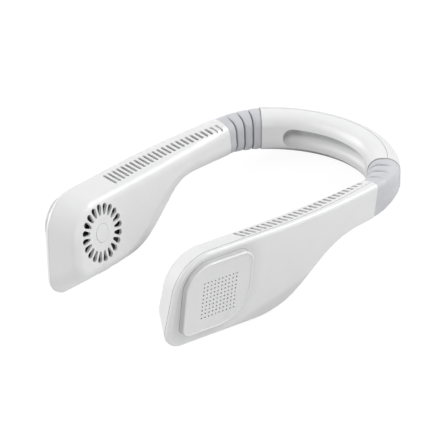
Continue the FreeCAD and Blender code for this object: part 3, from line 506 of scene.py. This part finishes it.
# Arms and heads: an inner shell with air slots and radial grille and an outer cover, white ABS
# like the bar, meeting at a fine groove and screwed together under the pad.
# Painted shade in the air slots, and a broad painted shade on the cover round the foot of the pad
SLOT_HOLLOW_SHADE = (0.004, 0.34, 0.66, 0.5)
COVER_HOLLOW_SHADE = (0.012, 0.03, 0.14, 0.86)
shell_plastic = moulded("white_shell_plastic", WHITE, GLOSS_ROUGH, SATIN_GRAIN, SLOT_HOLLOW_SHADE)
cover_plastic = moulded("white_cover_plastic", WHITE, GLOSS_ROUGH, SATIN_GRAIN, COVER_HOLLOW_SHADE)
for side in SIDES:
    dress(shell_plastic, side + "_inner_shell")
    dress(cover_plastic, side + "_outer_cover")


# Pads and grille caps: white plastic, pegged and pressed in, the pads with a finer, duller grain.
# A smooth bead, thicker towards the neck, is moulded round the edge of each pad's face.
PAD_WHITE = (0.83, 0.83, 0.835)
PAD_GRAIN = (0.00028, 0.00003)
# Painted shade at the foot of the pad and in the bead's corners
PAD_HOLLOW_SHADE = (0.005, 0.10, 0.40, 0.85)
BEAD_GRAIN = (0.00045, 0.00001)
BEAD_HOLLOW_SHADE = (0.002, 0.60, 0.98, 0.9)
BEAD_THIN = 0.00040
BEAD_THICK = 0.00090
BEAD_SUNK = 0.4
FACE_BAND = 0.00002
# The pads' edges are painted paler, as wear and as a painted highlight, and their narrow sides get
# a painted shade
pad_plastic = moulded(
    "pale_pad_plastic", PAD_WHITE, 0.38, PAD_GRAIN, PAD_HOLLOW_SHADE, edge_wear_and_highlight=0.6, flank_shade=0.72)
bead_plastic = moulded("white_bead_plastic", WHITE, 0.26, BEAD_GRAIN, BEAD_HOLLOW_SHADE)


# The bead follows the outline of the pad's flat face, partly let into it
def make_bead(side, mirror):
    pad = frame["nodes"][side + "_intake_pad"].data
    out = max(pad.polygons, key=lambda face: face.area).normal.copy()
    if out.x * mirror < 0.0:
        out.negate()
    along = (Vector((0.0, 1.0, 0.0)) - out * out.y).normalized()
    rise = out.cross(along)
    height = max(v.co.dot(out) for v in pad.vertices)
    rim = [v.co.copy() for v in pad.vertices if v.co.dot(out) > height - FACE_BAND]
    order = convex_hull_2d([(point.dot(along), point.dot(rise)) for point in rim])
    first = min(point.dot(along) for point in rim)
    last = max(point.dot(along) for point in rim)
    line = bpy.data.curves.new(side + "_pad_bead", "CURVE")
    line.dimensions = "3D"
    line.bevel_depth = BEAD_THICK
    line.bevel_resolution = 3
    run = line.splines.new("POLY")
    run.points.add(len(order) - 1)
    run.use_cyclic_u = True
    for knot, index in zip(run.points, order):
        share = smooth_step((rim[index].dot(along) - first) / (last - first))
        thick = BEAD_THIN + (BEAD_THICK - BEAD_THIN) * share
        knot.co = tuple(rim[index] - out * thick * BEAD_SUNK) + (1.0,)
        knot.radius = thick / BEAD_THICK
    return linked_piece(side + "_pad_bead", line, bead_plastic)


for side, mirror in SIDES.items():
    dress(pad_plastic, side + "_intake_pad")
    dress(shell_plastic, side + "_grille_cap")
    bead = make_bead(side, mirror)
    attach(bead, side + "_arm")


# Blowers: dark moulded drum impellers on steel rotor cups with a ring magnet, turning round a
# wound stator on a bronze bush, with an aluminium base that is set on the outer cover.
FAN_BLACK = (0.045, 0.045, 0.05)
FAN_GRAIN = (0.0004, 0.00003)
BRONZE = (0.60, 0.44, 0.22)
MAGNET_GREY = (0.22, 0.22, 0.23)
ALUMINIUM = (0.68, 0.68, 0.70)
COPPER_LOW = (0.30, 0.12, 0.05)
COPPER_HIGH = (0.66, 0.32, 0.15)
COPPER_DARK = (0.20, 0.09, 0.05)
TURN_SCALE = 1900.0
TURN_WANDER = 1.5
TURN_DEPTH = 0.00008
dark_plastic = moulded("dark_fan_plastic", FAN_BLACK, 0.42, FAN_GRAIN, INNER_HOLLOW_SHADE + (0.92,))
bronze = brushed_metal("sintered_bronze", BRONZE, 0.45, (1.0, 1.0, 1.0))
magnet = brushed_metal("plated_magnet", MAGNET_GREY, 0.5, (1.0, 1.0, 0.3))
aluminium = brushed_metal("turned_aluminium", ALUMINIUM, 0.34, (0.1, 1.0, 1.0))


def copper_winding():
    material, start = new_finish("copper_winding")
    place = coordinates(start)
    sockets = {"Vector": place, "Scale": TURN_SCALE, "Distortion": TURN_WANDER}
    turns = start.node("ShaderNodeTexWave", None, sockets)
    cloud = noise(start, place, 300.0, 2.0)
    tone = mixed(start, turns, shade(COPPER_LOW), shade(COPPER_HIGH))
    close_finish(start, {
        "Base Color": mixed(start, cloud.between(0.5, 0.8), tone, shade(COPPER_DARK)),
        "Metallic": 0.8,
        "Roughness": 0.35 + cloud * 0.2,
        "Normal": dented(start, 0.6, TURN_DEPTH, turns),
    })
    return material


winding = copper_winding()
for side in SIDES:
    dress(dark_plastic, side + "_impeller")
    dress(steel, side + "_rotor_cup", side + "_shaft")
    dress(magnet, side + "_magnet_ring")
    dress(bronze, side + "_bearing")
    dress(winding, side + "_stator")
    dress(aluminium, side + "_motor_base")


# Inside each arm: a grey duct moulding that guides the air to the slots, trapped between shell
# and cover, a foil pouch cell behind it and the steel case screws.
DUCT_GREY = (0.20, 0.20, 0.21)
DUCT_GRAIN = (0.0005, 0.00004)
FOIL_GREY = (0.64, 0.65, 0.67)
duct_plastic = moulded("grey_duct_plastic", DUCT_GREY, 0.5, DUCT_GRAIN, INNER_HOLLOW_SHADE + (0.79,))
foil = brushed_metal("cell_foil", FOIL_GREY, 0.38, (1.0, 0.2, 1.0))
for side in SIDES:
    dress(duct_plastic, side + "_air_duct")
    dress(foil, side + "_battery")
    dress(steel, side + "_case_screws")


# Controls in the underside of the right arm: a green board on posts with its push switch, a
# steel charging socket, a clear moulded light pipe and a white push button in its slot.
BOARD_GREEN = (0.03, 0.17, 0.07)
TRACK_GREEN = (0.05, 0.27, 0.11)
TRACK_SCALE = 420.0
TRACK_DEPTH = 0.00003
PIPE_DULL = (0.86, 0.88, 0.88)
PIPE_CLEAR = (0.94, 0.95, 0.95)
PIPE_IOR = 1.49


def lacquered_board():
    material, start = new_finish("green_lacquered_board")
    sockets = {"Vector": coordinates(start), "Scale": TRACK_SCALE}
    cells = start.node("ShaderNodeTexVoronoi", {"distance": "MANHATTAN"}, sockets)
    tracks = cells.between(0.42, 0.5)
    close_finish(start, {
        "Base Color": mixed(start, tracks, shade(BOARD_GREEN), shade(TRACK_GREEN)),
        "Roughness": 0.3 + tracks * 0.1,
        "Normal": dented(start, 0.4, TRACK_DEPTH, tracks),
    })
    return material


def clear_pipe():
    material, start = new_finish("clear_light_pipe")
    haze = noise(start, coordinates(start), 900.0, 2.0)
    close_finish(start, {
        "Base Color": mixed(start, haze, shade(PIPE_DULL), shade(PIPE_CLEAR)),
        "Roughness": 0.12 + haze * 0.12,
        "Transmission Weight": 0.6,
        "IOR": PIPE_IOR,
    })
    return material


dress(lacquered_board(), "control_board")
dress(dark_plastic, "push_switch")
dress(steel, "usb_socket")
dress(clear_pipe(), "light_pipe")
dress(shell_plastic, "power_button")


# Studio: a matt pale floor just under the fan, which the camera sees as nearly white and which
# keeps the fan's soft shadow, and a white sky all round that lights the fan from every side.
STUDIO_WHITE = (1.0, 1.0, 1.0)
FLOOR_GREY = (0.75, 0.75, 0.75)
FLOOR_GLOW = 1.09
FLOOR_SEEN = 0.85
FLOOR_HALF = 6.0
FLOOR_DROP = 0.0002
WORLD_LIGHT = 0.40


def pale_floor():
    material, start = new_finish("pale_floor")
    seen = start.node("ShaderNodeLightPath", None, None, "Is Camera Ray")
    matt = start.node("ShaderNodeBsdfDiffuse", None, {"Color": shade(FLOOR_GREY)})
    sockets = {"Color": shade(STUDIO_WHITE), "Strength": FLOOR_GLOW}
    glow = start.node("ShaderNodeEmission", None, sockets)
    surface = start.node("ShaderNodeMixShader", None, {0: seen * FLOOR_SEEN, 1: matt, 2: glow})
    start.node("ShaderNodeOutputMaterial", None, {"Surface": surface})
    return material


floor_mesh = bpy.data.meshes.new("studio_floor")
quarters = ((-1, -1), (1, -1), (1, 1), (-1, 1))
corners = [(x * FLOOR_HALF, y * FLOOR_HALF, 0.0) for x, y in quarters]
floor_mesh.from_pydata(corners, [], [(0, 1, 2, 3)])
floor = linked_piece("studio_floor", floor_mesh, pale_floor())
floor.location.z = -FLOOR_DROP

world = bpy.data.worlds.new("studio_sky")
world.use_nodes = True
world.node_tree.nodes.clear()
sky = Finish(world.node_tree)
to_camera = sky.node("ShaderNodeLightPath", None, None, "Is Camera Ray")
to_gloss = sky.node("ShaderNodeLightPath", None, None, "Is Glossy Ray")
to_glass = sky.node("ShaderNodeLightPath", None, None, "Is Transmission Ray")
shown = to_camera.larger(to_gloss.larger(to_glass))
backdrop = sky.node("ShaderNodeBackground", None, {
    "Color": shade(STUDIO_WHITE),
    "Strength": WORLD_LIGHT + shown * (1.0 - WORLD_LIGHT),
})
sky.node("ShaderNodeOutputWorld", None, {"Surface": backdrop})
bpy.context.scene.world = world


# Lamps: round soft boxes aimed at the middle of the fan, each given by its direction, distance
# and size, and by its level, which is how bright it makes a white surface that faces it.
FAN_MIDDLE = Vector((0.0, 0.0, 0.03))


def soft_box(name, way, distance, size, level):
    lamp = bpy.data.lights.new(name, "AREA")
    lamp.shape = "DISK"
    lamp.size = size
    lamp.energy = level * math.pi ** 2 * distance ** 2
    piece = bpy.data.objects.new(name, lamp)
    bpy.context.scene.collection.objects.link(piece)
    way = Vector(way).normalized()
    piece.location = FAN_MIDDLE + way * distance
    piece.rotation_euler = way.to_track_quat("Z", "Y").to_euler()


soft_box("back_right_box", (0.40, 0.75, 0.55), distance=1.6, size=1.0, level=0.52)
soft_box("front_left_box", (-0.45, -0.52, 0.72), distance=1.8, size=1.2, level=0.24)
soft_box("left_box", (-0.88, -0.28, 0.38), distance=1.7, size=1.2, level=0.40)
soft_box("right_box", (0.90, -0.32, 0.28), distance=1.8, size=1.4, level=0.21)


# Camera: a long lens, from the front on the wearer's left, level with the fan as it is worn.
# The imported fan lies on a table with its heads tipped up, so the view is tipped with it.
TIPPED = math.radians(15.673297)
PUT_DOWN = Vector((0.0, -0.08113172, 0.04986677))
AROUND = math.radians(44.5)
ABOVE = math.radians(25.75)
STAND_RIGHT = 0.046354
STAND_UP = 0.024056
STAND_BACK = 1.9649
SENSOR_MM = 36.0
FOCAL_PX = 3200.0
FRAME_PX = 430.0
right = Vector((math.cos(AROUND), math.sin(AROUND), 0.0))
back = Vector((
    math.sin(AROUND) * math.cos(ABOVE),
    -math.cos(AROUND) * math.cos(ABOVE),
    math.sin(ABOVE),
))
up = back.cross(right)
tip = Matrix.Rotation(-TIPPED, 4, "X")
tip.translation = PUT_DOWN
aim = Matrix((right, up, back)).transposed().to_4x4()
aim.translation = right * STAND_RIGHT + up * STAND_UP + back * STAND_BACK
lens = bpy.data.cameras.new("studio_camera")
lens.lens = SENSOR_MM * FOCAL_PX / FRAME_PX
lens.sensor_width = SENSOR_MM
lens.clip_start = 0.05
camera = bpy.data.objects.new("studio_camera", lens)
camera.matrix_world = tip @ aim
bpy.context.scene.collection.objects.link(camera)
bpy.context.scene.camera = camera
bpy.context.scene.view_settings.view_transform = "Standard"
